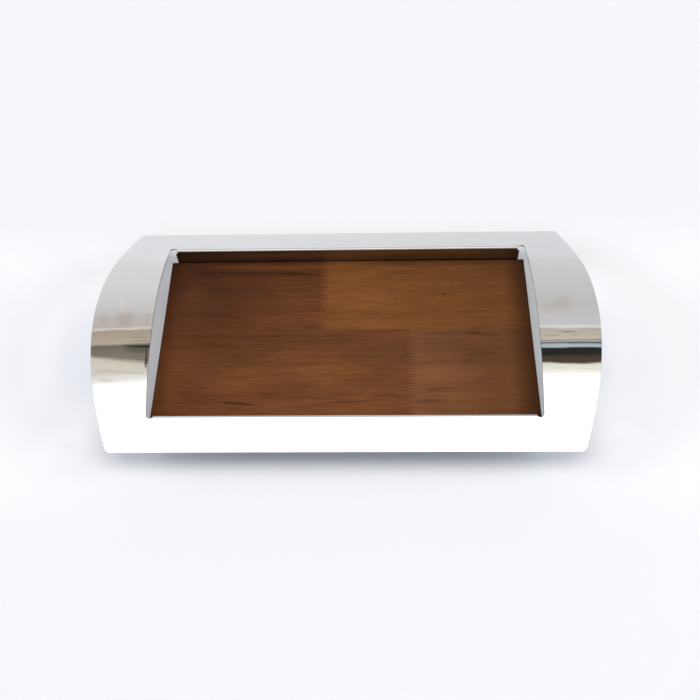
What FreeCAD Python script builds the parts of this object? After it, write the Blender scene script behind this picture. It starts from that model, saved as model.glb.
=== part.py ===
import FreeCAD, Part
import math
import os
import re
import Sketcher
from FreeCAD import Vector

# Serving tray: one arched, mirror-polished stainless sheet with a large opening, and a
# finger-jointed wooden board held between the two flanges that are bent down from it.
#
# Frame of the model, in mm: the origin is on the table under the middle of the tray,
# +X runs along its length from handle to handle, +Y to its back and +Z up.

DRIVING_SIZES = {
    # Outline of the sheet, seen from above.
    "overall_length": 560.0,
    "corner_length": 510.0,
    "overall_depth": 298.0,
    "corner_radius": 7.0,
    # Cross-section of the sheet: a round arch that runs out into straight sloping rims.
    "sheet_thickness": 1.5,
    "arch_radius": 235.0,
    "arch_half_width": 95.0,
    # Opening, and the round reliefs at its corners where the flanges are bent down.
    "opening_length": 426.0,
    "relief_radius": 4.0,
    "relief_line": 112.0,
    # Flanges: the distance from the middle of the tray to their faces, and the return lips.
    "flange_face": 111.7,
    "flange_length": 415.0,
    "bend_radius": 1.0,
    "lip_width": 22.0,
    "lip_length": 400.0,
    # Wooden board, of two rows of two staves.
    "board_length": 429.0,
    "board_depth": 223.0,
    "board_thickness": 15.0,
    "board_recess": 6.7,
    "board_round": 0.8,
    "board_chamfer": 1.6,
    "glue_line": 10.5,
    "back_joint": -26.0,
    "front_joint": 76.0,
    "finger_length": 10.0,
    "finger_tip": 0.6,
    "back_fingers": 27,
    "front_fingers": 32,
    # Fasteners and feet.
    "foot_spread": 185.0,
    "lip_screw_spread": 60.0,
    "screw_line": 101.0,
    "foot_height": 6.0,
    "foot_top_radius": 8.5,
    "foot_bottom_radius": 7.2,
    "foot_round": 1.0,
    "foot_recess_radius": 4.6,
    "foot_recess_depth": 3.2,
    "washer_radius": 4.4,
    "washer_thickness": 0.8,
    "clearance_radius": 2.0,
    "pilot_radius": 1.8,
    "pilot_depth": 11.5,
    "screw_radius": 1.75,
    "screw_head_radius": 3.6,
    "screw_head_height": 2.0,
    "screw_head_edge": 0.9,
    "screw_tip_length": 2.5,
    "foot_screw_length": 15.0,
    "lip_screw_length": 12.0,
    "recess_span": 3.4,
    "recess_width": 0.8,
    "recess_depth": 1.2,
}

# Sizes that follow from the driving ones.
DERIVED_SIZES = {
    "end_bulge": "(overall_length - corner_length) / 2",
    "end_radius": "((overall_depth / 2)^2 + end_bulge^2) / (2 * end_bulge)",
    "end_centre": "overall_length / 2 - end_radius",
    "corner_line": "overall_depth / 2 - corner_radius",
    "corner_centre": "end_centre + sqrt((end_radius - corner_radius)^2 - corner_line^2)",
    "corner_reach": "end_radius / (end_radius - corner_radius)",
    "lip_top": "foot_height + sheet_thickness",
    "board_top": "lip_top + board_thickness",
    "edge_height": "board_top + board_recess",
    "rim_slope": "asin(arch_half_width / arch_radius)",
    "rim_width": "overall_depth / 2 - arch_half_width",
    "arch_tangent_height": "edge_height + rim_width * tan(rim_slope)",
    "arch_centre_height": "arch_tangent_height - arch_radius * cos(rim_slope)",
    "total_height": "arch_centre_height + arch_radius",
    "sheet_drop": "sheet_thickness / cos(rim_slope)",
    "outer_bend": "bend_radius + sheet_thickness",
    "bend_centre": "flange_face + outer_bend",
    "bend_height": "edge_height + (overall_depth / 2 - bend_centre) * tan(rim_slope)"
                   " - outer_bend / cos(rim_slope)",
    "bend_start": "bend_centre + outer_bend * sin(rim_slope)",
    "relief_centre": "opening_length / 2 - relief_radius",
    "bend_end": "relief_centre - sqrt(relief_radius^2 - (bend_start - relief_line)^2)",
    "lip_edge": "flange_face - lip_width",
    "back_pitch": "(board_depth / 2 - glue_line) / back_fingers",
    "front_pitch": "(board_depth / 2 + glue_line) / front_fingers",
    "foot_screw_base": "foot_recess_depth - washer_thickness - screw_head_height",
    "lip_screw_base": "foot_height - screw_head_height",
}

TRIM_MARGIN = 4.0
RIM_OVERLAP = 3.0

doc = FreeCAD.newDocument("serving_tray")
sheet = doc.addObject("Spreadsheet::Sheet", "sizes")
for row, (alias, number) in enumerate(DRIVING_SIZES.items(), start=1):
    sheet.set(f"A{row}", alias)
    sheet.set(f"B{row}", str(number))
    sheet.setAlias(f"B{row}", alias)
doc.recompute()


def bind(text):
    """Turn a formula of size names into an expression that reads the spreadsheet."""
    def replace(match):
        word = match.group(0)
        if word in DERIVED_SIZES:
            return "(" + bind(DERIVED_SIZES[word]) + ")"
        if word in DRIVING_SIZES:
            return "sizes." + word
        return word
    return re.sub(r"[a-z][a-z_]+", replace, str(text))


def value(text):
    """The number that a formula of size names gives."""
    result = sheet.evalExpression(bind(text))
    return float(getattr(result, "Value", result))


def new_body(name):
    body = doc.addObject("PartDesign::Body", name)
    body.Label = name
    return body


def new_sketch(body, name, role, offset="0"):
    """A sketch on one of the body's own origin planes, moved along its normal by offset."""
    sketch = body.newObject("Sketcher::SketchObject", name)
    plane = next(item for item in body.Origin.OriginFeatures if item.Role == role)
    sketch.AttachmentSupport = [(plane, "")]
    sketch.MapMode = "FlatFace"
    sketch.setExpression("AttachmentOffset.Base.z", bind(offset))
    return sketch


def bind_constraint(sketch, kind, arguments, formula):
    index = sketch.addConstraint(Sketcher.Constraint(kind, *arguments, value(formula)))
    name = f"{kind.lower()}_{index}"
    sketch.renameConstraint(index, name)
    sketch.setExpression(f"Constraints.{name}", bind(formula))


def arc_between(start, end, radius, turn):
    """The short arc from start to end; turn is 1 for a left turn and -1 for a right turn."""
    chord = end - start
    middle = (start + end) * 0.5
    rise = math.sqrt(max(radius ** 2 - (chord.Length / 2) ** 2, 0.0))
    left = Vector(-chord.y, chord.x, 0) / chord.Length
    centre = middle + left * rise * turn
    first, last = (start, end) if turn > 0 else (end, start)
    angles = [math.atan2(point.y - centre.y, point.x - centre.x) for point in (first, last)]
    circle = Part.Circle(centre, Vector(0, 0, 1), radius)
    return Part.ArcOfCircle(circle, *angles)


def draw_outline(sketch, corners):
    """Draw a closed outline. Each corner is (x, y), or (x, y, radius, turn) where an arc
    ends there; every coordinate and radius is a formula that stays bound to the sheet."""
    points = [Vector(value(corner[0]), value(corner[1]), 0) for corner in corners]
    ends = []
    for index, corner in enumerate(corners):
        start, end = points[index - 1], points[index]
        if len(corner) == 2:
            edge = sketch.addGeometry(Part.LineSegment(start, end), False)
            ends.append((edge, 1, 2))
        else:
            radius, turn = corner[2:]
            edge = sketch.addGeometry(arc_between(start, end, value(radius), turn), False)
            ends.append((edge, 1, 2) if turn > 0 else (edge, 2, 1))
    for index, corner in enumerate(corners):
        edge, _, last = ends[index]
        following, first, _ = ends[(index + 1) % len(corners)]
        sketch.addConstraint(Sketcher.Constraint("Coincident", edge, last, following, first))
        bind_constraint(sketch, "DistanceX", (edge, last), corner[0])
        bind_constraint(sketch, "DistanceY", (edge, last), corner[1])
        if len(corner) > 2:
            bind_constraint(sketch, "Radius", (edge,), corner[2])


def draw_rectangle(sketch, low_x, low_y, high_x, high_y):
    draw_outline(sketch, [(low_x, low_y), (high_x, low_y), (high_x, high_y), (low_x, high_y)])


def draw_circle(sketch, x, y, radius):
    centre = Vector(value(x), value(y), 0)
    circle = Part.Circle(centre, Vector(0, 0, 1), value(radius))
    edge = sketch.addGeometry(circle, False)
    bind_constraint(sketch, "DistanceX", (edge, 3), x)
    bind_constraint(sketch, "DistanceY", (edge, 3), y)
    bind_constraint(sketch, "Radius", (edge,), radius)


def pad(body, sketch, name, length, symmetric=False):
    feature = body.newObject("PartDesign::Pad", name)
    feature.Profile = sketch
    if symmetric:
        feature.SideType = "Symmetric"
    feature.setExpression("Length", bind(length))
    doc.recompute()
    return feature


def cut_upwards(body, sketch, name, height):
    """Cut from the table up to a height, and make sure that the cut removed something."""
    before = body.Shape.Volume
    feature = body.newObject("PartDesign::Pocket", name)
    feature.Profile = sketch
    feature.Reversed = True
    feature.setExpression("Length", bind(height))
    doc.recompute()
    if not body.Shape.Volume < before:
        raise RuntimeError(f"{body.Label}: {name} cut nothing")
    return feature


def cut_through(body, sketch, name, length):
    """Cut half of the length to each side, and make sure that the cut removed something."""
    before = body.Shape.Volume
    feature = body.newObject("PartDesign::Pocket", name)
    feature.Profile = sketch
    feature.SideType = "Symmetric"
    feature.setExpression("Length", bind(length))
    doc.recompute()
    if not body.Shape.Volume < before:
        raise RuntimeError(f"{body.Label}: {name} cut nothing")
    return feature


def revolve(body, sketch, name):
    feature = body.newObject("PartDesign::Revolution", name)
    feature.Profile = sketch
    feature.ReferenceAxis = (sketch, ["V_Axis"])
    feature.Angle = 360.0
    doc.recompute()
    return feature


def place(body, x, y, z):
    for axis, formula in zip("xyz", (x, y, z)):
        body.setExpression(f"Placement.Base.{axis}", bind(formula))
    doc.recompute()


# Corners of the tray: a name, the sign of X and the sign of Y.
CORNERS = [
    ("back_left", -1, 1),
    ("back_right", 1, 1),
    ("front_left", -1, -1),
    ("front_right", 1, -1),
]


def make_frame():
    """The stainless sheet: arched about X, trimmed to its outline, pierced, and flanged."""
    body = new_body("frame")

    profile = new_sketch(body, "arch_profile", "YZ_Plane")
    reach = f"(overall_depth / 2 + {TRIM_MARGIN})"
    low = f"edge_height - {TRIM_MARGIN} * tan(rim_slope)"
    inner_reach = "(arch_radius - sheet_thickness) * sin(rim_slope)"
    inner_height = "arch_centre_height + (arch_radius - sheet_thickness) * cos(rim_slope)"
    draw_outline(profile, [
        (reach, f"{low} - sheet_drop"),
        (reach, low),
        ("arch_half_width", "arch_tangent_height"),
        ("-arch_half_width", "arch_tangent_height", "arch_radius", 1),
        (f"-{reach}", low),
        (f"-{reach}", f"{low} - sheet_drop"),
        (f"-{inner_reach}", inner_height),
        (inner_reach, inner_height, "arch_radius - sheet_thickness", -1),
    ])
    pad(body, profile, "arched_sheet", f"overall_length + 2 * {TRIM_MARGIN}", symmetric=True)

    outline = new_sketch(body, "trim_outline", "XY_Plane")
    outside_x = f"(overall_length / 2 + 3 * {TRIM_MARGIN})"
    outside_y = f"(overall_depth / 2 + 3 * {TRIM_MARGIN})"
    draw_rectangle(outline, f"-{outside_x}", f"-{outside_y}", outside_x, outside_y)
    tangent_x = "(end_centre + (corner_centre - end_centre) * corner_reach)"
    tangent_y = "(corner_line * corner_reach)"
    draw_outline(outline, [
        ("-corner_centre", "-overall_depth / 2", "corner_radius", 1),
        ("corner_centre", "-overall_depth / 2"),
        (tangent_x, f"-{tangent_y}", "corner_radius", 1),
        (tangent_x, tangent_y, "end_radius", 1),
        ("corner_centre", "overall_depth / 2", "corner_radius", 1),
        ("-corner_centre", "overall_depth / 2"),
        (f"-{tangent_x}", tangent_y, "corner_radius", 1),
        (f"-{tangent_x}", f"-{tangent_y}", "end_radius", 1),
    ])
    cut_upwards(body, outline, "trim_to_outline", "total_height + 1")

    opening = new_sketch(body, "opening_outline", "XY_Plane")
    draw_outline(opening, [
        ("-bend_end", "-bend_start", "relief_radius", 1),
        ("bend_end", "-bend_start"),
        ("opening_length / 2", "-relief_line", "relief_radius", 1),
        ("opening_length / 2", "relief_line"),
        ("bend_end", "bend_start", "relief_radius", 1),
        ("-bend_end", "bend_start"),
        ("-opening_length / 2", "relief_line", "relief_radius", 1),
        ("-opening_length / 2", "-relief_line"),
    ])
    cut_upwards(body, opening, "opening", "total_height + 1")

    for name, side in (("back_flange", 1), ("front_flange", -1)):
        flange = new_sketch(body, f"{name}_profile", "YZ_Plane")
        run_out = f"{RIM_OVERLAP} * cos(rim_slope)"
        drop = f"{RIM_OVERLAP} * sin(rim_slope)"
        inner_start = "bend_centre + bend_radius * sin(rim_slope)"
        top_height = "bend_height + outer_bend * cos(rim_slope)"
        under_height = "bend_height + bend_radius * cos(rim_slope)"
        corners = [
            (f"{inner_start} + {run_out}", f"{under_height} - {drop}"),
            (f"bend_start + {run_out}", f"{top_height} - {drop}"),
            ("bend_start", top_height),
            ("flange_face", "bend_height", "outer_bend", 1),
            ("flange_face", "lip_top + bend_radius"),
            ("flange_face - bend_radius", "lip_top", "bend_radius", -1),
            ("lip_edge", "lip_top"),
            ("lip_edge", "foot_height"),
            ("flange_face - bend_radius", "foot_height"),
            ("flange_face + sheet_thickness", "lip_top + bend_radius", "outer_bend", 1),
            ("flange_face + sheet_thickness", "bend_height"),
            (inner_start, under_height, "bend_radius", -1),
        ]
        draw_outline(flange, [
            (f"{side} * ({corner[0]})", corner[1], *(
                (corner[2], side * corner[3]) if len(corner) > 2 else ()))
            for corner in corners
        ])
        pad(body, flange, name, "flange_length", symmetric=True)

    # Each relief was cut through the flat sheet on the line of the bend, so half of its
    # circle lies round the bend and half in the top of the flange.
    reliefs = new_sketch(body, "bend_reliefs", "XY_Plane", offset="bend_height")
    for _, side_x, side_y in CORNERS:
        draw_circle(reliefs, f"{side_x} * relief_centre", f"{side_y} * relief_line",
                    "relief_radius")
    cut_upwards(body, reliefs, "reliefs_in_the_bend", "total_height + 1")

    reliefs = new_sketch(body, "flange_reliefs", "XZ_Plane")
    for side_x in (-1, 1):
        draw_circle(reliefs, f"{side_x} * relief_centre", "bend_height", "relief_radius")
    cut_through(body, reliefs, "reliefs_in_the_flanges",
                "2 * (flange_face + sheet_thickness)")

    lips = new_sketch(body, "lip_outline", "XY_Plane")
    for _, side_x, side_y in CORNERS:
        x_ends = sorted((f"{side_x} * lip_length / 2", f"{side_x} * opening_length / 2"), key=value)
        y_ends = sorted((f"{side_y} * (lip_edge - 1)", f"{side_y} * (flange_face - outer_bend)"),
                        key=value)
        draw_rectangle(lips, x_ends[0], y_ends[0], x_ends[1], y_ends[1])
        for spread in ("foot_spread", "lip_screw_spread"):
            draw_circle(lips, f"{side_x} * {spread}", f"{side_y} * screw_line",
                        "clearance_radius")
    cut_upwards(body, lips, "lip_ends_and_holes", "lip_top + bend_radius / 2")
    return body


def make_stave(name, side_x, side_y, joint, fingers, pitch):
    """One wooden stave. Its inner end is cut to fingers that fill its neighbour's notches."""
    body = new_body(name)
    far_end = f"{side_x} * board_length / 2"
    finger_end = f"{joint} - {side_x} * finger_length / 2"
    low_end, high_end = sorted((far_end, finger_end), key=value)
    outer = f"{side_y} * board_depth / 2"

    section = new_sketch(body, f"{name}_section", "YZ_Plane", offset=low_end)
    chamfer_start = f"{side_y} * (board_depth / 2 - board_chamfer)"
    corners = [
        ("glue_line", "lip_top"),
        (chamfer_start, "lip_top"),
        (outer, "lip_top + board_chamfer"),
        (outer, "board_top"),
        ("glue_line", "board_top"),
    ]
    draw_outline(section, corners)
    blank = pad(body, section, f"{name}_blank", f"({high_end}) - ({low_end})")

    outer_y = value(outer)
    top = value("board_top")
    far_x = value(far_end)
    arrises = []
    for number, edge in enumerate(blank.Shape.Edges, start=1):
        box = edge.BoundBox
        on_top = abs(box.ZMin - top) < 0.01
        at_end = abs(box.XMin - far_x) < 0.01 and abs(box.XMax - far_x) < 0.01
        at_side = abs(box.YMin - outer_y) < 0.01 and abs(box.YMax - outer_y) < 0.01
        if (on_top and (at_end or at_side)) or (at_end and at_side):
            arrises.append(f"Edge{number}")
    rounding = body.newObject("PartDesign::Fillet", f"{name}_rounding")
    rounding.Base = (blank, arrises)
    rounding.setExpression("Radius", bind("board_round"))
    doc.recompute()

    # Left staves have their first notch a quarter pitch before the row's edge, and right
    # staves a quarter pitch after it, so that each finger faces a notch.
    row_start = "glue_line" if side_y > 0 else "-board_depth / 2"
    centre = f"({row_start} + {side_x} * {pitch} / 4)"
    mouth = f"({pitch} - finger_tip) / 2"
    tip = "finger_tip / 2"
    mouth_x = f"({finger_end} - {side_x} * 0.5)"
    # The notch's sides run on past the stave's end, at the same slope, by half a millimetre.
    flare = f"0.5 * ({pitch} / 2 - finger_tip) / finger_length"
    root_x = f"({finger_end} + {side_x} * finger_length)"
    notch = new_sketch(body, f"{name}_notch", "XY_Plane")
    draw_outline(notch, [
        (mouth_x, f"{centre} - {mouth} - {flare}"),
        (root_x, f"{centre} - {tip}"),
        (root_x, f"{centre} + {tip}"),
        (mouth_x, f"{centre} + {mouth} + {flare}"),
    ])
    first_notch = cut_upwards(body, notch, f"{name}_first_notch", "board_top + 1")

    comb = body.newObject("PartDesign::LinearPattern", f"{name}_fingers")
    comb.Originals = [first_notch]
    comb.Direction = (notch, ["V_Axis"])
    comb.setExpression("Length", bind(f"{pitch} * {fingers}"))
    comb.setExpression("Occurrences", bind(f"{fingers} + 1"))
    body.Tip = comb
    doc.recompute()

    pilots = new_sketch(body, f"{name}_pilots", "XY_Plane")
    low_x, high_x = value(low_end), value(high_end)
    for spread in ("foot_spread", "lip_screw_spread"):
        for sign in (-1, 1):
            place_x = f"{sign} * {spread}"
            if low_x < value(place_x) < high_x:
                draw_circle(pilots, place_x, f"{side_y} * screw_line", "pilot_radius")
    cut_upwards(body, pilots, f"{name}_pilot_holes", "lip_top + pilot_depth")
    return body


def make_foot(name, side_x, side_y):
    """A rubber foot, recessed from below for its washer and screw head."""
    body = new_body(name)
    section = new_sketch(body, f"{name}_section", "XZ_Plane")
    draw_outline(section, [
        ("clearance_radius", "foot_recess_depth"),
        ("foot_recess_radius", "foot_recess_depth"),
        ("foot_recess_radius", "0"),
        ("foot_bottom_radius - foot_round", "0"),
        ("foot_bottom_radius", "foot_round", "foot_round", 1),
        ("foot_top_radius", "foot_height"),
        ("clearance_radius", "foot_height"),
    ])
    revolve(body, section, f"{name}_turned")
    place(body, f"{side_x} * foot_spread", f"{side_y} * screw_line", "0")
    return body


def make_washer(name, side_x, side_y):
    body = new_body(name)
    section = new_sketch(body, f"{name}_section", "XZ_Plane")
    draw_rectangle(section, "clearance_radius", "0", "washer_radius", "washer_thickness")
    revolve(body, section, f"{name}_turned")
    place(body, f"{side_x} * foot_spread", f"{side_y} * screw_line",
          "foot_recess_depth - washer_thickness")
    return body


def make_screw(name, side_x, side_y, spread, base, length):
    """A pan-head wood screw with its head down and a cross recess."""
    body = new_body(name)
    section = new_sketch(body, f"{name}_section", "XZ_Plane")
    crown = "(screw_head_radius - screw_head_edge)"
    draw_outline(section, [
        ("0", "0"),
        (crown, "0"),
        ("screw_head_radius", "screw_head_edge", "screw_head_edge", 1),
        ("screw_head_radius", "screw_head_height"),
        ("screw_radius", "screw_head_height"),
        ("screw_radius", f"screw_head_height + {length} - screw_tip_length"),
        ("0", f"screw_head_height + {length}"),
    ])
    revolve(body, section, f"{name}_turned")
    cross = new_sketch(body, f"{name}_cross", "XY_Plane")
    long_side = "(recess_span / 2)"
    short_side = "(recess_width / 2)"
    draw_outline(cross, [
        (f"-{long_side}", f"-{short_side}"),
        (f"-{short_side}", f"-{short_side}"),
        (f"-{short_side}", f"-{long_side}"),
        (short_side, f"-{long_side}"),
        (short_side, f"-{short_side}"),
        (long_side, f"-{short_side}"),
        (long_side, short_side),
        (short_side, short_side),
        (short_side, long_side),
        (f"-{short_side}", long_side),
        (f"-{short_side}", short_side),
        (f"-{long_side}", short_side),
    ])
    cut_upwards(body, cross, f"{name}_recess", "recess_depth")
    place(body, f"{side_x} * {spread}", f"{side_y} * screw_line", base)
    return body


parts = [make_frame()]
for corner, side_x, side_y in CORNERS:
    row = "back" if side_y > 0 else "front"
    parts.append(make_stave(f"stave_{corner}", side_x, side_y, f"{row}_joint",
                            f"{row}_fingers", f"{row}_pitch"))
for corner, side_x, side_y in CORNERS:
    parts.append(make_foot(f"foot_{corner}", side_x, side_y))
    parts.append(make_washer(f"washer_{corner}", side_x, side_y))
    parts.append(make_screw(f"foot_screw_{corner}", side_x, side_y,
                            "foot_spread", "foot_screw_base", "foot_screw_length"))
    parts.append(make_screw(f"lip_screw_{corner}", side_x, side_y,
                            "lip_screw_spread", "lip_screw_base", "lip_screw_length"))
doc.recompute()

for item in doc.Objects:
    if "Invalid" in item.State or "Error" in item.State:
        raise RuntimeError(f"{item.Label} did not compute: {item.State}")
for body in parts:
    if body.Shape.isNull() or not body.Shape.isValid() or len(body.Shape.Solids) != 1:
        raise RuntimeError(f"{body.Label} is not one valid solid")

os.makedirs("parts", exist_ok=True)
for body in parts:
    body.Shape.exportStep(f"parts/{body.Label}.step")
    box = body.Shape.BoundBox
    print(f"{body.Label}: {box.XLength:.2f} x {box.YLength:.2f} x {box.ZLength:.2f} mm,"
          f" volume {body.Shape.Volume:.0f} mm3")
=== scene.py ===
import math

import bmesh
import bpy
from mathutils import Matrix, Vector


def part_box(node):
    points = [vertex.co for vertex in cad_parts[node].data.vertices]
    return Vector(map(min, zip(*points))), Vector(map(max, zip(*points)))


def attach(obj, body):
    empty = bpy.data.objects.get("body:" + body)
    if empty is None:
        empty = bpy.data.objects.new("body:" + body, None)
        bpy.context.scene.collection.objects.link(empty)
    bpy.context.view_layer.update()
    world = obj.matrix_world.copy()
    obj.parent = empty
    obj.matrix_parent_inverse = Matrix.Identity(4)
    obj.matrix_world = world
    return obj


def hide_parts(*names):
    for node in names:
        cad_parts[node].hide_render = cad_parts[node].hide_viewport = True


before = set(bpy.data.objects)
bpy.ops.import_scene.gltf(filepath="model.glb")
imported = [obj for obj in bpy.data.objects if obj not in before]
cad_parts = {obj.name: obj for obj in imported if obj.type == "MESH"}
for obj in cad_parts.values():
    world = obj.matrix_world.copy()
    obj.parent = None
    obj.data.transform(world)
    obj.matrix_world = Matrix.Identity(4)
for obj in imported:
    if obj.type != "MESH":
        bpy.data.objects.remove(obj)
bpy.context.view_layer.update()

MM = 0.001

# The sheet's shape, in metres. Its outer sizes come from the frame.
FRAME_LOW, FRAME_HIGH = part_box("frame")
BOARD_HALF_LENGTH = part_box("stave_back_right")[1].x
BOARD_HALF_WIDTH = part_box("stave_back_right")[1].y
HALF_LENGTH = FRAME_HIGH.x
HALF_DEPTH = FRAME_HIGH.y
TOP = FRAME_HIGH.z
LIP_BOTTOM = FRAME_LOW.z
SHEET = 1.5 * MM
ARCH_RADIUS = 235 * MM
ARCH_HALF_WIDTH = 95 * MM
CORNER_HALF_LENGTH = 255 * MM
CORNER_RADIUS = 7 * MM
OPENING_HALF_LENGTH = 213 * MM
RELIEF_RADIUS = 4 * MM
RELIEF_LINE = 112 * MM
FLANGE_FACE = 111.7 * MM
FLANGE_HALF_LENGTH = 207.5 * MM
BEND_RADIUS = 1.0 * MM
LIP_WIDTH = 22 * MM
LIP_HALF_LENGTH = 200 * MM
EDGE_ROUND = 0.6 * MM
EDGE_SEGMENTS = 3
SHARP_EDGE = math.radians(50)
FLAT_FACE_WEIGHT = 60

# How finely the sheet is meshed: steps round or down each part of its section, and columns
# along its length in each end band, each shoulder beside a corner relief, and the middle.
ARCH_STEPS = 56
INNER_RIM_STEPS = 4
OUTER_RIM_STEPS = 6
QUARTER_STEPS = 8
BEND_STEPS = 12
FLANGE_STEPS = 5
LOW_BEND_STEPS = 6
LIP_STEPS = 4
END_COLUMNS = 14
SHOULDER_COLUMNS = 2
MIDDLE_COLUMNS = 40
# Rows of the mesh nearer than CLOSE are at the same place; points nearer still are merged.
CLOSE = MM / 100
MERGE_DISTANCE = MM / 200

RIM_SLOPE = math.asin(ARCH_HALF_WIDTH / ARCH_RADIUS)
ARCH_CENTRE = TOP - ARCH_RADIUS
RIM_START = ARCH_CENTRE + ARCH_RADIUS * math.cos(RIM_SLOPE)
EDGE_HEIGHT = RIM_START - (HALF_DEPTH - ARCH_HALF_WIDTH) * math.tan(RIM_SLOPE)
OUTER_BEND = BEND_RADIUS + SHEET
BEND_CENTRE = FLANGE_FACE + OUTER_BEND
BEND_START = BEND_CENTRE + OUTER_BEND * math.sin(RIM_SLOPE)
RELIEF_CENTRE = OPENING_HALF_LENGTH - RELIEF_RADIUS
LIP_TOP = LIP_BOTTOM + SHEET


def sheet_height(y):
    """Height of the sheet's upper face: a round arch that runs out into straight rims."""
    if abs(y) <= ARCH_HALF_WIDTH:
        return ARCH_CENTRE + math.sqrt(ARCH_RADIUS ** 2 - y * y)
    return EDGE_HEIGHT + (HALF_DEPTH - abs(y)) * math.tan(RIM_SLOPE)


BEND_HEIGHT = sheet_height(BEND_CENTRE) - OUTER_BEND / math.cos(RIM_SLOPE)


def end_of_sheet(y):
    """Half the sheet's length at y: a long end arc with a small round corner at each side."""
    bulge = HALF_LENGTH - CORNER_HALF_LENGTH
    radius = (HALF_DEPTH ** 2 + bulge ** 2) / (2 * bulge)
    centre = HALF_LENGTH - radius
    corner_y = HALF_DEPTH - CORNER_RADIUS
    corner_x = centre + math.sqrt((radius - CORNER_RADIUS) ** 2 - corner_y ** 2)
    if abs(y) > corner_y * radius / (radius - CORNER_RADIUS):
        reach = max(CORNER_RADIUS ** 2 - (abs(y) - corner_y) ** 2, 0.0)
        return corner_x + math.sqrt(reach)
    return centre + math.sqrt(radius ** 2 - y * y)


def relief_reach(y):
    """Half the width of a corner relief at y, in the X direction."""
    return math.sqrt(max(RELIEF_RADIUS ** 2 - (abs(y) - RELIEF_LINE) ** 2, 0.0))


def flange_end(y, z):
    """Half the flange's length, which the corner relief shortens in the bend and below it."""
    if z >= BEND_HEIGHT:
        return RELIEF_CENTRE - relief_reach(y)
    below = min(BEND_HEIGHT - z, RELIEF_RADIUS)
    reach = math.sqrt(RELIEF_RADIUS ** 2 - below ** 2)
    return min(RELIEF_CENTRE - reach, FLANGE_HALF_LENGTH)


def steps(start, end, count):
    """The values from start to end in equal steps, both ends included."""
    return [start + (end - start) * index / count for index in range(count + 1)]


def sheet_levels():
    """Y of each row of the sheet's mesh, from its middle line to its back edge."""
    quarter = [math.radians(angle) for angle in steps(0, 90, QUARTER_STEPS)]
    levels = steps(0, ARCH_HALF_WIDTH, ARCH_STEPS)
    levels += steps(ARCH_HALF_WIDTH, RELIEF_LINE, INNER_RIM_STEPS)
    levels += [RELIEF_LINE + RELIEF_RADIUS * math.sin(angle) for angle in quarter]
    levels += [BEND_START]
    corner_y = HALF_DEPTH - CORNER_RADIUS
    levels += steps(RELIEF_LINE + RELIEF_RADIUS, corner_y, OUTER_RIM_STEPS)
    levels += [corner_y + CORNER_RADIUS * math.sin(angle) for angle in quarter]
    return sorted({round(level, 7) for level in levels})


def flange_profile():
    """(y, z) from the bend's start, round the bend, down the flange and in along the lip."""
    points = []
    for angle in steps(math.pi / 2 - RIM_SLOPE, math.pi, BEND_STEPS):
        points.append((BEND_CENTRE + OUTER_BEND * math.cos(angle),
                       BEND_HEIGHT + OUTER_BEND * math.sin(angle)))
    low_centre = (FLANGE_FACE - BEND_RADIUS, LIP_TOP + BEND_RADIUS)
    relief_end = BEND_HEIGHT - RELIEF_RADIUS
    points += [(FLANGE_FACE, z) for z in steps(BEND_HEIGHT, relief_end, QUARTER_STEPS)[1:]]
    points += [(FLANGE_FACE, z) for z in steps(relief_end, low_centre[1], FLANGE_STEPS)[1:-1]]
    for angle in steps(0, math.pi / 2, LOW_BEND_STEPS):
        points.append((low_centre[0] + BEND_RADIUS * math.cos(angle),
                       low_centre[1] - BEND_RADIUS * math.sin(angle)))
    lip_end = FLANGE_FACE - LIP_WIDTH
    points += [(y, LIP_TOP) for y in steps(FLANGE_FACE - OUTER_BEND, lip_end, LIP_STEPS)]
    return points


def add_strip(mesh, rows, columns):
    """Quads between two rows; a row is (y, z, first x, last x)."""
    (y0, z0, a0, b0), (y1, z1, a1, b1) = rows
    for index in range(columns):
        share, following = index / columns, (index + 1) / columns
        corners = [
            (a0 + (b0 - a0) * share, y0, z0),
            (a0 + (b0 - a0) * following, y0, z0),
            (a1 + (b1 - a1) * following, y1, z1),
            (a1 + (b1 - a1) * share, y1, z1),
        ]
        mesh.faces.new([mesh.verts.new(corner) for corner in corners])


def add_side_strips(mesh, rows, starts, ends, columns):
    """A strip at the left and its mirror at the right; starts and ends are distances from X 0."""
    for side in (-1, 1):
        spans = [tuple(sorted((side * start, side * end))) for start, end in zip(starts, ends)]
        add_strip(mesh, [row + span for row, span in zip(rows, spans)], columns)


def add_middle_strip(mesh, rows):
    """The strip between the shoulders, as long as the lip."""
    span = (-LIP_HALF_LENGTH, LIP_HALF_LENGTH)
    add_strip(mesh, [row + span for row in rows], MIDDLE_COLUMNS)


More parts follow.
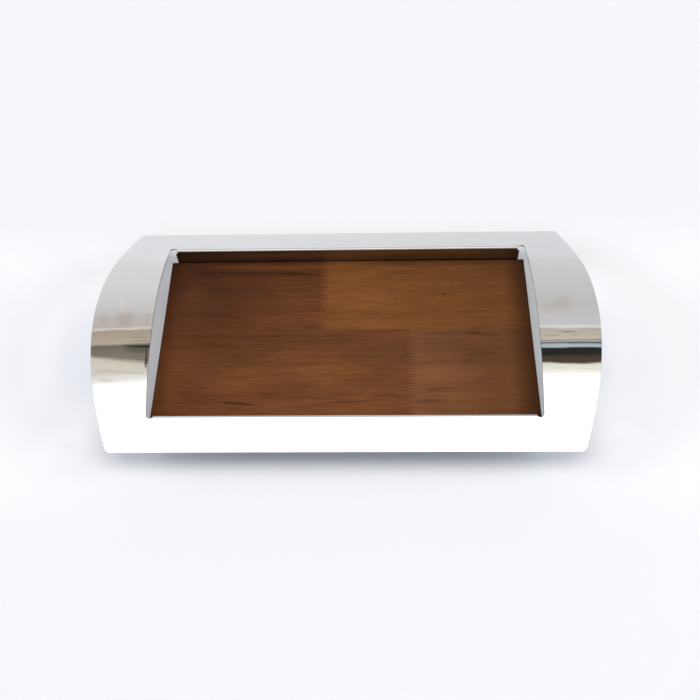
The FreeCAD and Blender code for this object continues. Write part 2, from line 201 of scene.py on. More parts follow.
def build_frame():
    """The whole sheet as one surface, thickened, with softly rounded cut edges."""
    mesh = bmesh.new()
    lip_ends = (LIP_HALF_LENGTH, LIP_HALF_LENGTH)
    levels = sheet_levels()
    for low, high in zip(levels, levels[1:]):
        for side in (-1, 1):
            pair = (low, high) if side > 0 else (high, low)
            rows = [(side * y, sheet_height(y)) for y in pair]
            reliefs = [relief_reach(y) if y > RELIEF_LINE else RELIEF_RADIUS for y in pair]
            opening_ends = [RELIEF_CENTRE + reach for reach in reliefs]
            sheet_ends = [end_of_sheet(y) for y in pair]
            add_side_strips(mesh, rows, opening_ends, sheet_ends, END_COLUMNS)
            if low < BEND_START - CLOSE:
                continue
            shoulders = [RELIEF_CENTRE - reach for reach in reliefs]
            add_side_strips(mesh, rows, lip_ends, shoulders, SHOULDER_COLUMNS)
            add_middle_strip(mesh, rows)

    profile = flange_profile()
    for start, end in zip(profile, profile[1:]):
        for side in (-1, 1):
            pair = (end, start) if side > 0 else (start, end)
            rows = [(side * y, z) for y, z in pair]
            add_middle_strip(mesh, rows)
            if end[0] < FLANGE_FACE - OUTER_BEND - CLOSE:
                continue
            flange_ends = [flange_end(y, z) for y, z in pair]
            add_side_strips(mesh, rows, lip_ends, flange_ends, SHOULDER_COLUMNS)
    bmesh.ops.remove_doubles(mesh, verts=mesh.verts, dist=MERGE_DISTANCE)
    bmesh.ops.dissolve_degenerate(mesh, edges=mesh.edges, dist=MERGE_DISTANCE)

    data = bpy.data.meshes.new("polished_frame")
    mesh.to_mesh(data)
    mesh.free()
    data.shade_smooth()
    piece = bpy.data.objects.new("polished_frame", data)
    bpy.context.scene.collection.objects.link(piece)
    thick = piece.modifiers.new("sheet_thickness", "SOLIDIFY")
    thick.thickness = SHEET
    thick.offset = -1.0
    thick.use_even_offset = True
    bevel = piece.modifiers.new("rounded_cut_edges", "BEVEL")
    bevel.width = EDGE_ROUND
    bevel.segments = EDGE_SEGMENTS
    bevel.limit_method = "ANGLE"
    bevel.angle_limit = SHARP_EDGE
    bevel.use_clamp_overlap = True
    weighted = piece.modifiers.new("flat_face_normals", "WEIGHTED_NORMAL")
    weighted.keep_sharp = False
    weighted.weight = FLAT_FACE_WEIGHT
    return piece


class Shader:
    """A small helper that builds a node tree and links sockets by name."""

    def __init__(self, tree):
        self.tree = tree
        tree.nodes.clear()

    def node(self, kind, settings=None, **inputs):
        """A node with its inputs linked or set: i0, i1 ... go by number, other names by name."""
        node = self.tree.nodes.new(kind)
        for name, setting in (settings or {}).items():
            setattr(node, name, setting)
        for name, source in inputs.items():
            socket = node.inputs[int(name[1:])] if name[0] == "i" and name[1:].isdigit() \
                else node.inputs[name.replace("_", " ")]
            if isinstance(source, bpy.types.NodeSocket):
                self.tree.links.new(source, socket)
            else:
                socket.default_value = source
        return node

    def math(self, operation, first, second=0.0, third=0.0):
        return self.node("ShaderNodeMath", {"operation": operation},
                         i0=first, i1=second, i2=third).outputs[0]

    def length(self, vector):
        return self.node("ShaderNodeVectorMath", {"operation": "LENGTH"},
                         i0=vector).outputs["Value"]

    def split(self, vector):
        """The X, Y and Z of a vector."""
        return self.node("ShaderNodeSeparateXYZ", None, Vector=vector).outputs

    def fade(self, source, low, high, to_low=0.0, to_high=1.0):
        """A smooth step of source from low to high."""
        node = self.node("ShaderNodeMapRange", {"interpolation_type": "SMOOTHSTEP"},
                         Value=source, From_Min=low, From_Max=high, To_Min=to_low, To_Max=to_high)
        return node.outputs["Result"]

    def mix(self, share, first, second, blend="MIX"):
        """The first colour, mixed or blended with the second by its share."""
        node = self.tree.nodes.new("ShaderNodeMix")
        node.data_type = "RGBA"
        node.blend_type = blend
        for socket, source in ((node.inputs[0], share), (node.inputs[6], first),
                               (node.inputs[7], second)):
            if isinstance(source, bpy.types.NodeSocket):
                self.tree.links.new(source, socket)
            elif isinstance(source, (int, float)):
                socket.default_value = source
            else:
                socket.default_value = (*source, 1.0)
        return node.outputs[2]

    def ramp(self, share, stops):
        """A colour that runs straight from each (position, colour) stop to the next."""
        node = self.node("ShaderNodeValToRGB", None, i0=share)
        elements = node.color_ramp.elements
        while len(elements) < len(stops):
            elements.new(0.5)
        for element, (position, colour) in zip(elements, stops):
            element.position = position
            element.color = (*colour, 1.0)
        return node.outputs[0]

    def noise(self, vector, scale, detail=2.0, roughness=0.5):
        return self.node("ShaderNodeTexNoise", None, Vector=vector, Scale=scale, Detail=detail,
                         Roughness=roughness).outputs["Fac"]

    def stretched(self, vector, x, y, z, offset=(0.0, 0.0, 0.0)):
        """A vector scaled by x, y and z, so that a noise on it is stretched the other way."""
        return self.node("ShaderNodeMapping", None, Vector=vector, Scale=(x, y, z),
                         Location=offset).outputs[0]


def new_material(name):
    material = bpy.data.materials.new(name)
    material.use_nodes = True
    return material, Shader(material.node_tree)


# Colours of the steel: the mirror finish and its smears, the painted shade on the bends and
# flanges, the cut ends, and the satin underside.
MIRROR = (0.675, 0.67, 0.66)
SMEARED = (0.655, 0.65, 0.64)
BEND_AND_FLANGE_SHADE = (0.37, 0.365, 0.36)
CUT = (0.30, 0.30, 0.295)
SATIN = (0.46, 0.46, 0.465)


def polished_steel():
    """Mirror polish on the show side, and a satin brushed finish underneath."""
    material, s = new_material("polished_steel")
    coordinates = s.node("ShaderNodeTexCoord")
    place = coordinates.outputs["Object"]
    normal = s.split(coordinates.outputs["Normal"])
    underside = s.fade(normal["Z"], -0.05, -0.35)
    # Hand polishing leaves slow waves in the sheet, and hair lines along its length.
    waves = s.noise(s.stretched(place, 16, 34, 16), 1.0, 2.0, 0.45)
    hair = s.noise(s.stretched(place, 60, 3200, 3200), 1.0, 2.0, 0.6)
    smears = s.noise(s.stretched(place, 22, 30, 22), 1.0, 3.0, 0.6)
    wave_bump = s.node("ShaderNodeBump", None, Strength=0.4, Distance=0.0004, Height=waves)
    brushed = s.fade(underside, 0.0, 1.0, 0.05, 0.7)
    hair_bump = s.node("ShaderNodeBump", None, Strength=brushed, Distance=0.00002, Height=hair,
                       Normal=wave_bump.outputs[0])
    polish = s.fade(smears, 0.35, 0.75, 0.004, 0.014)
    roughness = s.math("MULTIPLY_ADD", underside, 0.30, polish)
    # The bends and flanges are tinted darker, a painted shade that dims the bend's highlight and
    # the wood mirrored in the flanges; the cut ends are tinted darker still.
    tint = s.mix(s.fade(smears, 0.3, 0.8), MIRROR, SMEARED)
    tint = s.mix(s.fade(s.math("ABSOLUTE", normal["Y"]), 0.41, 0.56), tint, BEND_AND_FLANGE_SHADE)
    tint = s.mix(s.fade(s.math("ABSOLUTE", normal["X"]), 0.15, 0.55), tint, CUT)
    colour = s.mix(underside, tint, SATIN)
    shader = s.node("ShaderNodeBsdfPrincipled", None, Base_Color=colour, Metallic=1.0,
                    Roughness=roughness, Normal=hair_bump.outputs[0])
    s.node("ShaderNodeOutputMaterial", None, Surface=shader.outputs[0])
    return material


# How far a mark in the wood wanders with the grain.
MARK_WANDER = 6.0 * MM


def mark_strength(s, place, wander, mark):
    """How strongly a mark in the wood shows here: a long soft patch that follows the grain."""
    x, y, half_length, half_width, slope, strength = mark
    point = s.split(place)
    along = s.math("SUBTRACT", point["X"], x * MM)
    middle = s.math("MULTIPLY_ADD", along, slope, y * MM)
    middle = s.math("MULTIPLY_ADD", wander, MARK_WANDER, middle)
    across = s.math("DIVIDE", s.math("SUBTRACT", point["Y"], middle), half_width * MM)
    along = s.math("DIVIDE", along, half_length * MM)
    reach = s.math("MULTIPLY_ADD", across, across, s.math("MULTIPLY", along, along))
    return s.fade(reach, 1.0, 0.0, 0.0, strength)


WOOD_SPECULAR = 0.07
WOOD_GOLD = (0.215, 0.081, 0.0185)
# The dark grain is this share of the stave's colour.
DARK_GRAIN = 0.36
# Painted shade at the ends of the board, under the handles: its colour, and for each end the
# side, how far it reaches in (mm) and its strength.
END_SHADE = (0.020, 0.006, 0.002)
END_SHADES = [(1, 34, 0.72), (-1, 20, 0.35)]
# Painted shade in the seams along the flanges: its colour, how far it reaches in, and its
# strength.
SEAM_SHADE = (0.012, 0.005, 0.003)
SEAM_SHADE_WIDTH = 2.6 * MM
SEAM_SHADE_CORE = 0.6 * MM
SEAM_SHADE_STRENGTH = 0.62
# Where along X the painted shade grows, and its share before and after.
SEAM_SHADE_GROWS = (-0.10, 0.20, 0.45, 1.37)


def wood(name, left, right, shades, seed, marks, glows):
    """Stained, satin-lacquered hardwood with its grain along X.

    The stave's colour runs from left to right over its length, and its brightness from the
    first shade at its front edge to the second at its back edge. Its darker marks and its
    golden glows are (x, y, half length, half width, slope, strength) with lengths in mm; a
    mark of negative strength is paler.
    """
    material, s = new_material(name)
    place = s.node("ShaderNodeTexCoord").outputs["Object"]
    low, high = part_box(name.replace("wood_of_", ""))
    # Layers of grain from broad blotches to pores, lifted out of line by a slow bend.
    start = (seed * 3.1, seed * 7.7, seed * 1.3)
    bend = s.noise(s.stretched(place, 8, 20, 20, start), 1.0, 2.0)
    wander = s.math("SUBTRACT", bend, 0.5)
    lifted = s.node("ShaderNodeVectorMath", {"operation": "MULTIPLY_ADD"}, i0=bend,
                    i1=(0.0, 0.014, 0.014), i2=place).outputs[0]
    blotches = s.noise(s.stretched(lifted, 15, 40, 40, start), 1.0, 3.0, 0.5)
    bands = s.noise(s.stretched(lifted, 6, 120, 120, start), 1.0, 3.0, 0.55)
    streaks = s.noise(s.stretched(lifted, 22, 380, 380, start), 1.0, 3.0, 0.6)
    fibre = s.noise(s.stretched(lifted, 60, 1200, 1200, start), 1.0, 3.0, 0.65)
    pores = s.noise(s.stretched(lifted, 110, 1700, 1700, start), 1.0, 1.0, 0.5)

    point = s.split(place)
    colour = s.mix(s.fade(point["X"], low.x, high.x), left, right)
    shade = s.fade(point["Y"], low.y, high.y, *shades)
    shade = s.math("MULTIPLY", shade, s.fade(blotches, 0.25, 0.75, 0.88, 1.12))
    colour = s.mix(1.0, colour, shade, "MULTIPLY")
    for glow in glows:
        colour = s.mix(mark_strength(s, place, wander, glow), colour, WOOD_GOLD)
    depth = s.math("ADD", s.fade(bands, 0.35, 0.75, 0.0, 0.22),
                   s.fade(streaks, 0.35, 0.75, 0.0, 0.32))
    depth = s.math("ADD", depth, s.fade(fibre, 0.35, 0.75, 0.0, 0.26))
    for mark in marks:
        depth = s.math("ADD", depth, mark_strength(s, place, wander, mark))
    dark = tuple(DARK_GRAIN * part for part in left)
    colour = s.mix(depth, colour, dark)
    colour = s.mix(s.fade(pores, 0.60, 0.72, 0.0, 0.35), colour, dark)
    # Painted shade darkens the ends of the board under the handles, most of all at the right.
    for side, reach, strength in END_SHADES:
        start = side * (BOARD_HALF_LENGTH - reach * MM)
        end = side * BOARD_HALF_LENGTH
        colour = s.mix(s.fade(point["X"], start, end, 0.0, strength), colour, END_SHADE)

    # Painted shade darkens the board in the seams along the flanges.
    from_middle = s.math("ABSOLUTE", point["Y"])
    seam_shade = s.fade(from_middle, BOARD_HALF_WIDTH - SEAM_SHADE_WIDTH, BOARD_HALF_WIDTH - SEAM_SHADE_CORE,
                    0.0, SEAM_SHADE_STRENGTH)
    seam_shade = s.math("MULTIPLY", seam_shade, s.fade(point["X"], *SEAM_SHADE_GROWS))
    colour = s.mix(seam_shade, colour, SEAM_SHADE)

    relief = s.math("SUBTRACT", s.math("MULTIPLY", fibre, 0.4), s.fade(pores, 0.60, 0.72))
    bump = s.node("ShaderNodeBump", None, Strength=0.2, Distance=0.0002, Height=relief)
    roughness = s.fade(fibre, 0.2, 0.8, 0.40, 0.54)
    shader = s.node("ShaderNodeBsdfPrincipled", None, Base_Color=colour, Roughness=roughness,
                    Specular_IOR_Level=WOOD_SPECULAR, Normal=bump.outputs[0])
    s.node("ShaderNodeOutputMaterial", None, Surface=shader.outputs[0])
    return material


def rubber():
    """Black rubber with a fine moulded grain."""
    material, s = new_material("black_rubber")
    place = s.node("ShaderNodeTexCoord").outputs["Object"]
    grain = s.noise(s.stretched(place, 1800, 1800, 1800), 1.0, 2.0)
    bump = s.node("ShaderNodeBump", None, Strength=0.3, Distance=0.0001, Height=grain)
    colour = s.mix(s.fade(grain, 0.3, 0.7), (0.018, 0.018, 0.019), (0.035, 0.034, 0.033))
    shader = s.node("ShaderNodeBsdfPrincipled", None, Base_Color=colour, Roughness=0.72,
                    Normal=bump.outputs[0])
    s.node("ShaderNodeOutputMaterial", None, Surface=shader.outputs[0])
    return material


def zinc_plate():
    """Zinc-plated steel with a fine spangle."""
    material, s = new_material("zinc_plate")
    place = s.node("ShaderNodeTexCoord").outputs["Object"]
    spangle = s.noise(s.stretched(place, 700, 700, 700), 1.0, 3.0)
    colour = s.mix(s.fade(spangle, 0.3, 0.7), (0.50, 0.51, 0.53), (0.66, 0.67, 0.68))
    roughness = s.fade(spangle, 0.2, 0.8, 0.22, 0.38)
    shader = s.node("ShaderNodeBsdfPrincipled", None, Base_Color=colour, Metallic=1.0,
                    Roughness=roughness)
    s.node("ShaderNodeOutputMaterial", None, Surface=shader.outputs[0])
    return material


# The floor lies just below the feet. Its colour near the tray is mottled between two greys and
# turns to a darker third farther out, by distance from the tray's middle, behind it and in front:
# a painted shade.
FLOOR_SIZE = 60.0
FLOOR_LEVEL = -0.02 * MM
FLOOR_NEAR = ((0.758, 0.755, 0.747), (0.773, 0.770, 0.762))
FLOOR_FAR_SHADE = (0.688, 0.688, 0.683)
FAR_ROUND = (0.36, 0.60)
FAR_BEHIND = (0.08, 0.22)
FAR_IN_FRONT = (-0.14, -0.24, 0.0, 0.55)
# Where the floor runs out into the pale background.
FLOOR_RUNS_OUT = (1.6, 5.5)
# Painted shade on the floor beside the handles, and painted light off three of the corners:
# the centre and half size of each in metres, and its tint.
FLOOR_PAINTED_LIGHT_AND_SHADE = [
    ((-0.311, -0.005, 0.0), (0.053, 0.112, 1.0), (0.85, 0.865, 0.885)),
    ((0.313, -0.003, 0.0), (0.066, 0.108, 1.0), (0.910, 0.912, 0.920)),
    ((-0.313, -0.128, 0.0), (0.050, 0.034, 1.0), (1.06, 1.06, 1.065)),
    ((0.300, -0.122, 0.0), (0.050, 0.034, 1.0), (1.05, 1.05, 1.055)),
    ((-0.305, 0.140, 0.0), (0.045, 0.035, 1.0), (1.045, 1.055, 1.06)),
]
TINT_CORE = 0.30


def paint_floor_light_and_shade(s, place, colour, centre, size, tint):
    """Tint an oval of the floor darker (painted shade) or lighter (painted light), full in its
    core and fading to its rim.
    """
    offset = s.node("ShaderNodeVectorMath", {"operation": "SUBTRACT"}, i0=place, i1=centre)
    scaled = s.node("ShaderNodeVectorMath", {"operation": "DIVIDE"}, i0=offset.outputs[0],
                    i1=size)
    share = s.fade(s.length(scaled.outputs[0]), TINT_CORE, 1.0, 1.0, 0.0)
    return s.mix(share, colour, tint, "MULTIPLY")


def build_floor():
    bpy.ops.mesh.primitive_plane_add(size=FLOOR_SIZE, location=(0.0, 0.0, FLOOR_LEVEL))
    floor = bpy.context.object
    floor.name = "floor"
    material, s = new_material("pale_floor")
    place = s.node("ShaderNodeTexCoord").outputs["Object"]
    point = s.split(place)
    distance = s.length(place)
    colour = s.mix(s.noise(place, 3.0, 2.0), *FLOOR_NEAR)
    # The floor darkens farther out, behind the tray and in front of it: painted shade.
    lengthwise = s.math("ADD", s.fade(point["Y"], *FAR_BEHIND), s.fade(point["Y"], *FAR_IN_FRONT))
    colour = s.mix(s.math("MAXIMUM", s.fade(distance, *FAR_ROUND), lengthwise), colour, FLOOR_FAR_SHADE)
    # Painted shade beside the handles and painted light off the corners.
    for centre, size, tint in FLOOR_PAINTED_LIGHT_AND_SHADE:
        colour = paint_floor_light_and_shade(s, place, colour, centre, size, tint)
    shader = s.node("ShaderNodeBsdfPrincipled", None, Base_Color=colour, Roughness=0.6,
                    Specular_IOR_Level=0.2)
    glow = s.node("ShaderNodeEmission", None, Color=BACKGROUND, Strength=1.0)
    surface = s.node("ShaderNodeMixShader", None, i0=s.fade(distance, *FLOOR_RUNS_OUT),
                     i1=shader.outputs[0], i2=glow.outputs[0])
    s.node("ShaderNodeOutputMaterial", None, Surface=surface.outputs[0])
    floor.data.materials.append(material)


# The studio round the tray, as the light that arrives from each height of a great arc that
# rises from the back wall (0 degrees), passes overhead (90) and comes down behind the
# viewer (180). Over the tray hangs a wide soft box with a dark edge, which fades to the left.
STUDIO_LEFT = [
    (0, (1.07, 1.10, 1.15)),
    (12, (1.00, 1.01, 1.05)),
    (34, (0.96, 0.96, 0.98)),
    (49.2, (0.88, 0.87, 0.87)),
    (58.2, (0.76, 0.72, 0.70)),
    (64.5, (0.72, 0.66, 0.62)),
    (65.7, (1.06, 1.00, 0.93)),
    (66.8, (0.58, 0.49, 0.40)),
    (75.3, (0.68, 0.59, 0.48)),
    (76.7, (0.245, 0.225, 0.19)),
    (78.4, (0.245, 0.225, 0.19)),
    (80.0, (0.275, 0.25, 0.21)),
    (84.3, (0.31, 0.28, 0.235)),
    (87.1, (0.90, 0.83, 0.71)),
    (90.1, (0.97, 0.91, 0.81)),
    (93.9, (0.92, 0.86, 0.78)),
    (95.4, (1.11, 1.07, 1.00)),
    (98.0, (1.18, 1.16, 1.13)),
    (99.8, (1.45, 1.45, 1.45)),
    (101.2, (2.30, 2.30, 2.30)),
    (132, (2.30, 2.30, 2.30)),
    (142, (0.80, 0.80, 0.82)),
    (180, (0.70, 0.70, 0.72)),
]
STUDIO_RIGHT = [
    (0, (1.01, 1.03, 1.08)),
    (12, (0.90, 0.91, 0.95)),
    (34, (0.83, 0.83, 0.84)),
    (51.2, (0.77, 0.75, 0.74)),
    (65.1, (0.83, 0.82, 0.82)),
    (66.0, (1.04, 1.03, 1.01)),
    (67.0, (1.04, 1.03, 1.01)),
    (67.6, (0.69, 0.63, 0.55)),
    (74.8, (0.80, 0.72, 0.62)),
    (75.4, (0.14, 0.13, 0.12)),
    (75.9, (0.86, 0.83, 0.80)),
    (76.4, (0.74, 0.74, 0.74)),
    (76.6, (0.07, 0.08, 0.09)),
    (77.2, (0.09, 0.11, 0.13)),
    (77.5, (0.60, 0.70, 0.77)),
    (79.4, (0.63, 0.74, 0.82)),
    (79.9, (0.028, 0.030, 0.034)),
    (84, (0.033, 0.030, 0.027)),
    (85.5, (0.095, 0.074, 0.054)),
    (89.1, (0.100, 0.078, 0.056)),
    (89.8, (1.10, 1.05, 0.95)),
    (95.1, (1.36, 1.33, 1.27)),
    (98.1, (2.30, 2.30, 2.30)),
    (132, (2.30, 2.30, 2.30)),
    (142, (0.80, 0.80, 0.82)),
    (180, (0.70, 0.70, 0.72)),
]
# How far what the left handle mirrors leans out of level, in degrees for each unit of X.
STUDIO_LEAN = [(0, 0), (59, 18), (78, 24), (85, -75), (93, 0), (97, 60), (102, 40), (107, 0),
               (180, 0)]
# The span fits the leans between 0 and 1 for a ramp. They turn about the left handle's middle.
LEAN_SPAN = 400.0
LEFT_MIDDLE = -0.274
# Single things hanging in the studio: X of the direction, height on the arc in degrees,
# half width, half height, how solid they are, and their light.
MIRRORED_THINGS = [
    (-0.271, 59.4, 0.011, 7.0, 0.60, (0.65, 0.54, 0.45)),
    (-0.274, 47.0, 0.003, 9.0, 0.25, (1.10, 1.08, 1.06)),
    (-0.292, 59.5, 0.008, 5.0, 0.35, (0.64, 0.53, 0.46)),
    (-0.246, 59.5, 0.006, 6.0, 0.35, (0.64, 0.53, 0.46)),
    (-0.248, 77.2, 0.026, 1.2, 1.00, (0.03, 0.028, 0.025)),
    (-0.254, 79.0, 0.022, 3.4, 0.55, (0.10, 0.088, 0.070)),
    (-0.2455, 82.0, 0.0042, 4.5, 0.75, (0.05, 0.045, 0.04)),
    (-0.2460, 87.2, 0.0048, 5.0, 1.00, (0.05, 0.045, 0.04)),
    (-0.256, 71.5, 0.014, 0.45, 0.55, (0.26, 0.20, 0.14)),
    (-0.252, 73.8, 0.014, 0.45, 0.50, (0.26, 0.20, 0.14)),
    (-0.260, 69.5, 0.010, 0.45, 0.45, (0.26, 0.20, 0.14)),
    (-0.291, 92.3, 0.013, 0.7, 0.45, (0.62, 0.54, 0.47)),
    (-0.275, 93.3, 0.013, 0.7, 0.40, (0.62, 0.54, 0.47)),
    (-0.259, 94.4, 0.013, 0.7, 0.40, (0.62, 0.54, 0.47)),
    (-0.290, 98.4, 0.010, 1.8, 0.50, (0.86, 0.81, 0.74)),
    (-0.288, 101.8, 0.008, 1.4, 0.45, (1.05, 1.02, 0.98)),
    (0.197, 49.6, 0.013, 7.0, 0.50, (0.66, 0.58, 0.52)),
    (0.183, 53.0, 0.010, 6.0, 0.25, (0.64, 0.57, 0.52)),
    (0.201, 69.3, 0.012, 0.50, 0.80, (0.20, 0.15, 0.10)),
    (0.184, 72.0, 0.010, 0.45, 0.60, (0.24, 0.18, 0.13)),
    (0.208, 71.4, 0.006, 0.35, 0.45, (0.26, 0.20, 0.14)),
    (0.222, 93.0, 0.018, 0.7, 0.30, (0.70, 0.64, 0.56)),
    (0.190, 92.2, 0.012, 0.6, 0.30, (0.70, 0.64, 0.56)),
]
# What the left handle mirrors turns into what the right one mirrors over this range of X, and
# the lean fades in over the next.
LEFT_TO_RIGHT = (-0.2, 0.14)
LEAN_FADES_IN = (0.0, -0.1)
# Streaks of the soft box's cloth: where the noise shows as a streak and how strongly, the
# range of heights they hang over (as a share of the arc), and their light.
CLOTH_STREAKS = (0.5, 0.7, 0.0, 0.16)
CLOTH_BEGINS = (0.36, 0.37)
CLOTH_ENDS = (0.52, 0.50)
CLOTH = (0.20, 0.165, 0.13)
# The dark side walls: where they begin in X, and how much of them shows.
SIDE_WALLS = (0.16, 0.17, 0.19)
SIDE_WALLS_BEGIN = (0.40, 0.70, 0.0, 0.85)
BACKGROUND = (0.90, 0.915, 0.945, 1.0)


def hang(s, light, across, rise, thing):
    """Add one soft-edged thing to the studio's light."""
    x, angle, half_width, half_height, solid, shine = thing
    beside = s.math("DIVIDE", s.math("SUBTRACT", across, x), half_width)
    above = s.math("DIVIDE", s.math("SUBTRACT", rise, math.radians(angle)),
                   math.radians(half_height))
    reach = s.math("MULTIPLY_ADD", beside, beside, s.math("MULTIPLY", above, above))
    return s.mix(s.fade(reach, 1.0, 0.0, 0.0, solid), light, shine)


def lean_out_of_level(s, across, level):
    """The height on the arc, leaned to one side where the left handle mirrors it."""
    leans = [(angle / 180, (0.5 + lean / LEAN_SPAN,) * 3) for angle, lean in STUDIO_LEAN]
    lean = s.math("SUBTRACT", s.ramp(level, leans), 0.5)
    from_middle = s.math("SUBTRACT", across, LEFT_MIDDLE)
    offset = s.math("MULTIPLY", s.math("MULTIPLY", lean, from_middle),
                    s.fade(across, *LEAN_FADES_IN))
    return s.math("MULTIPLY_ADD", offset, LEAN_SPAN / 180, level)


def build_studio():
    """What the steel mirrors. The lamps below light everything that isn't a mirror."""
    world = bpy.data.worlds.new("studio")
    world.use_nodes = True
    world.cycles_visibility.diffuse = False
    bpy.context.scene.world = world
    s = Shader(world.node_tree)
    direction = s.node("ShaderNodeTexCoord").outputs["Generated"]
    towards = s.split(direction)
    across = towards["X"]
    rise = s.math("ARCTAN2", towards["Z"], towards["Y"])
    level = s.math("DIVIDE", rise, math.pi)
    leaned = lean_out_of_level(s, across, level)
    left, right = [s.ramp(leaned, [(angle / 180, colour) for angle, colour in stops])
                   for stops in (STUDIO_LEFT, STUDIO_RIGHT)]
    light = s.mix(s.fade(across, *LEFT_TO_RIGHT), left, right)
    for thing in MIRRORED_THINGS:
        light = hang(s, light, across, rise, thing)
    streaks = s.noise(s.stretched(direction, 10, 300, 300), 1.0, 2.0)
    cloth = s.math("MULTIPLY", s.fade(level, *CLOTH_BEGINS), s.fade(level, *CLOTH_ENDS))
    streaks = s.math("MULTIPLY", s.fade(streaks, *CLOTH_STREAKS), cloth)
    light = s.mix(streaks, light, CLOTH)
    walls = s.fade(s.math("ABSOLUTE", across), *SIDE_WALLS_BEGIN)
    light = s.mix(walls, light, SIDE_WALLS)
    lit = s.node("ShaderNodeBackground", None, Color=light, Strength=1.0)
    seen = s.node("ShaderNodeBackground", None, Color=BACKGROUND, Strength=1.0)
    camera_ray = s.node("ShaderNodeLightPath").outputs["Is Camera Ray"]
    both = s.node("ShaderNodeMixShader", None, i0=camera_ray, i1=lit.outputs[0],
                  i2=seen.outputs[0])
    s.node("ShaderNodeOutputWorld", None, Surface=both.outputs[0])


# Soft boxes: power in watts, colour, place, the point aimed at, and size in metres.
SOFT_BOXES = {
    "overhead": (111.0, (1.0, 0.937, 0.90), (0.0, 0.40, 4.0), (0.0, 0.40, 0.0), (5.6, 2.7)),
    "front": (114.0, (0.728, 0.816, 1.0), (0.0, -5.0, 4.3), (0.0, 0.0, 0.0), (2.0, 3.0)),
    "left": (250.0, (0.847, 0.894, 1.0), (-5.0, 0.0, 2.3), (0.0, 0.0, 0.0), (4.0, 2.0)),
    "right": (277.0, (0.843, 0.923, 1.0), (5.0, 0.0, 2.3), (0.0, 0.0, 0.0), (4.0, 2.0)),
    "back": (152.0, (1.0, 0.875, 0.855), (0.0, 5.6, 2.4), (0.0, 0.0, 0.0), (7.0, 3.0)),
}


def build_lamps():
    """Soft boxes that light the floor and the wood but aren't themselves mirrored."""
    for name, (power, colour, place, target, size) in SOFT_BOXES.items():
        data = bpy.data.lights.new(f"{name}_soft_box", "AREA")
        data.energy = power
        data.color = colour
        data.shape = "RECTANGLE"
        data.size, data.size_y = size
        lamp = bpy.data.objects.new(f"{name}_soft_box", data)
        bpy.context.scene.collection.objects.link(lamp)
        lamp.location = place
        aim = Vector(target) - Vector(place)
        lamp.rotation_euler = aim.to_track_quat("-Z", "Y").to_euler()
        lamp.visible_glossy = False
        lamp.visible_camera = False


# The camera looks down at the middle of the tray, at the height of its outer edges. Angles are
# in radians, the distance in metres, and the shift in picture widths.
CAMERA_YAW = -0.0679
CAMERA_PITCH = 0.9930
CAMERA_ROLL = -0.0643
CAMERA_DISTANCE = 1.0468
FOCAL_LENGTH_IN_WIDTHS = 1.3012
CAMERA_SHIFT = (0.0065, -0.0224)
SENSOR = 36.0


def build_camera():
    """A camera on a straight arm from the tray's middle, rolled a little about the arm."""
    forward = Vector((math.sin(CAMERA_YAW) * math.cos(CAMERA_PITCH),
                      math.cos(CAMERA_YAW) * math.cos(CAMERA_PITCH),
                      -math.sin(CAMERA_PITCH)))
    right = Vector((math.cos(CAMERA_YAW), -math.sin(CAMERA_YAW), 0.0))
    up = right.cross(forward)
    turned_right = right * math.cos(CAMERA_ROLL) + up * math.sin(CAMERA_ROLL)
    turned_up = up * math.cos(CAMERA_ROLL) - right * math.sin(CAMERA_ROLL)
    target = Vector((0.0, 0.0, EDGE_HEIGHT))
    data = bpy.data.cameras.new("camera")
    data.sensor_width = SENSOR
    data.lens = FOCAL_LENGTH_IN_WIDTHS * SENSOR
    data.shift_x, data.shift_y = CAMERA_SHIFT
    camera = bpy.data.objects.new("camera", data)
    bpy.context.scene.collection.objects.link(camera)
    turn = Matrix((turned_right, turned_up, -forward)).transposed().to_4x4()
    camera.matrix_world = Matrix.Translation(target - forward * CAMERA_DISTANCE) @ turn
    bpy.context.scene.camera = camera


def dress(node, material):
    """Give a CAD node its material, keeping its mesh as it is."""
    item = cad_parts[node]
    if not item.material_slots:
        item.data.materials.append(material)
    for slot in item.material_slots:
        slot.link = "OBJECT"
        slot.material = material


bpy.context.scene.view_settings.view_transform = "Standard"

polished_frame = build_frame()
polished_frame.data.materials.append(polished_steel())
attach(polished_frame, "root")
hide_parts("frame")

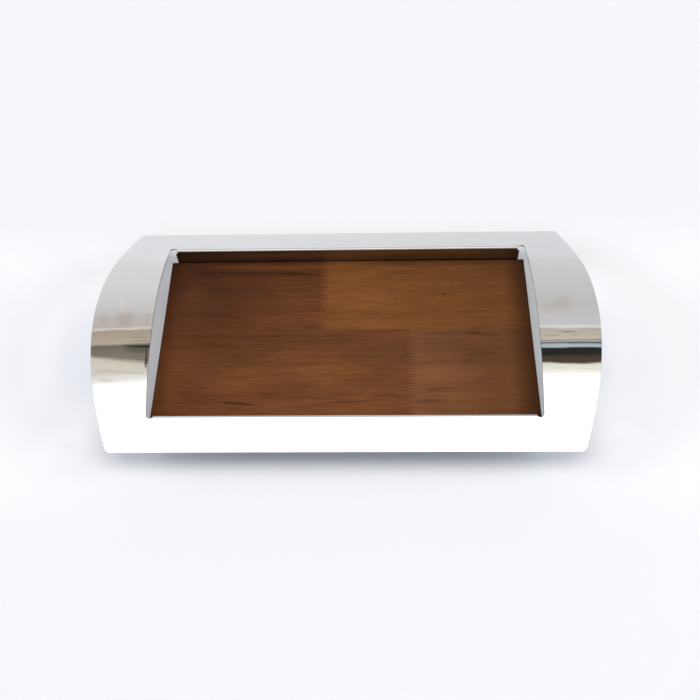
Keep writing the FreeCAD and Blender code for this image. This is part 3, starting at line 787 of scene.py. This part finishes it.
# Each stave's settings for wood().
STAVES = {
    "stave_back_left": {
        "left": (0.084, 0.0264, 0.0087), "right": (0.113, 0.0357, 0.0103),
        "shades": (1.18, 0.84), "seed": 1.0,
        "marks": [
            (-108, 93.3, 120, 3.8, -0.029, 0.52),
            (-66, 93.2, 24, 1.5, -0.02, 0.40),
            (-45, 99.5, 26, 1.2, 0.0, 0.20),
            (-194, 72, 10, 8, 0.0, 0.30),
            (-120, 68, 70, 1.6, 0.01, 0.18),
            (-90, 44, 60, 1.4, 0.0, 0.15),
        ],
        "glows": [
            (-180, 64, 22, 14, 0.0, 0.16),
            (-90, 103.4, 125, 5.0, 0.0, 0.22),
            (-62, 102.0, 70, 4.6, 0.0, 0.20),
        ],
    },
    "stave_back_right": {
        "left": (0.175, 0.0626, 0.0148), "right": (0.157, 0.0568, 0.0140),
        "shades": (1.01, 1.00), "seed": 2.0,
        "marks": [
            (116.4, 60, 3.4, 2.0, 0.0, 0.95),
            (134, 61, 18, 0.9, -0.04, 0.35),
            (131, 57, 14, 0.8, 0.03, 0.30),
            (137, 80, 6, 1.4, 0.0, 0.40),
            (105, 107, 125, 5.5, 0.0, 0.42),
            (40, 95, 26, 5.0, 0.0, -0.20),
        ],
        "glows": [],
    },
    "stave_front_left": {
        "left": (0.135, 0.0444, 0.0127), "right": (0.145, 0.0505, 0.0151),
        "shades": (1.12, 0.82), "seed": 3.0,
        "marks": [
            (-119, -87.2, 27, 1.9, -0.10, 1.20),
            (-100, 3.5, 118, 1.9, 0.0, 0.42),
            (-140, -10, 42, 2.2, 0.0, 0.30),
            (-30, -5, 90, 1.4, 0.02, 0.35),
            (-70, -15, 55, 1.2, 0.0, 0.30),
            (0, -84.5, 60, 1.6, 0.05, 0.40),
            (-38, -79, 34, 1.3, -0.06, 0.35),
            (39, -76, 30, 1.4, 0.04, 0.35),
            (-50, -65, 40, 1.2, 0.0, 0.25),
            (45, -47, 26, 10, 0.0, 0.22),
        ],
        "glows": [
            (-25, -44, 60, 20, 0.0, 0.48),
            (-70, -29, 58, 8, 0.0, 0.24),
            (-125, -52, 60, 26, 0.0, 0.35),
            (-194, -50, 30, 14, 0.0, 0.22),
            (-140, -71, 80, 6.0, 0.0, 0.16),
            (-60, -20, 30, 10, 0.0, 0.20),
        ],
    },
    "stave_front_right": {
        "left": (0.190, 0.0746, 0.0265), "right": (0.152, 0.0552, 0.0161),
        "shades": (1.00, 0.835), "seed": 4.0,
        "marks": [
            (149, 6, 12, 3.0, 0.0, 0.40),
            (142, 4.5, 82, 3.6, 0.0, 0.36),
            (122, -50, 76, 15, 0.0, -0.34),
            (135, -70, 50, 4.5, 0.0, 0.22),
            (150, -91, 60, 7.0, 0.0, -0.20),
            (143, -33, 22, 2.4, 0.0, 0.35),
            (96, -83, 24, 3.0, 0.04, 0.30),
            (100, -70, 30, 4.0, 0.0, 0.20),
        ],
        "glows": [
            (148, -49.5, 16, 3.0, 0.0, 0.35),
        ],
    },
}
for node, settings in STAVES.items():
    dress(node, wood(f"wood_of_{node}", **settings))

black_rubber = rubber()
zinc = zinc_plate()
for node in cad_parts:
    if node.startswith(("foot_screw", "lip_screw", "washer")):
        dress(node, zinc)
    elif node.startswith("foot"):
        dress(node, black_rubber)

build_floor()
build_studio()
build_lamps()
build_camera()
